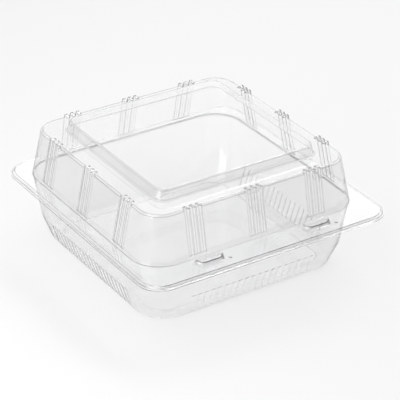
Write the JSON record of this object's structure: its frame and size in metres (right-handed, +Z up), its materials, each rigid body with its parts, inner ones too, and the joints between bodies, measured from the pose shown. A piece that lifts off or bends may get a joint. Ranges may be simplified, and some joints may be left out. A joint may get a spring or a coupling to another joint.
{
  "type": "plastic cake box",
  "caption": "Clear hinged plastic cake box with a ribbed lid, a fluted base tray, a flat flange all round and snap bars along the front.",
  "frame": {"origin": "centre of the flange outline, at the height of the surface that the base stands on", "axes": "+Z up, -Y towards the front with the snap bars, +Y towards the hinge, +X to the right seen from the front"},
  "size_m": [0.2, 0.208, 0.0928],
  "materials": {
    "clear_sheet": "clear gloss"
  },
  "bodies": {
    "base": {"base": "clear_sheet"},
    "lid": {"lid": "clear_sheet"}
  },
  "joints": [
    {"name": "lid_hinge", "type": "hinge", "parent": "base", "child": "lid", "pos_m": [0, 0.1037, 0.04805], "axis": [-1, 0, 0], "range_deg": [0, 180]}
  ]
}
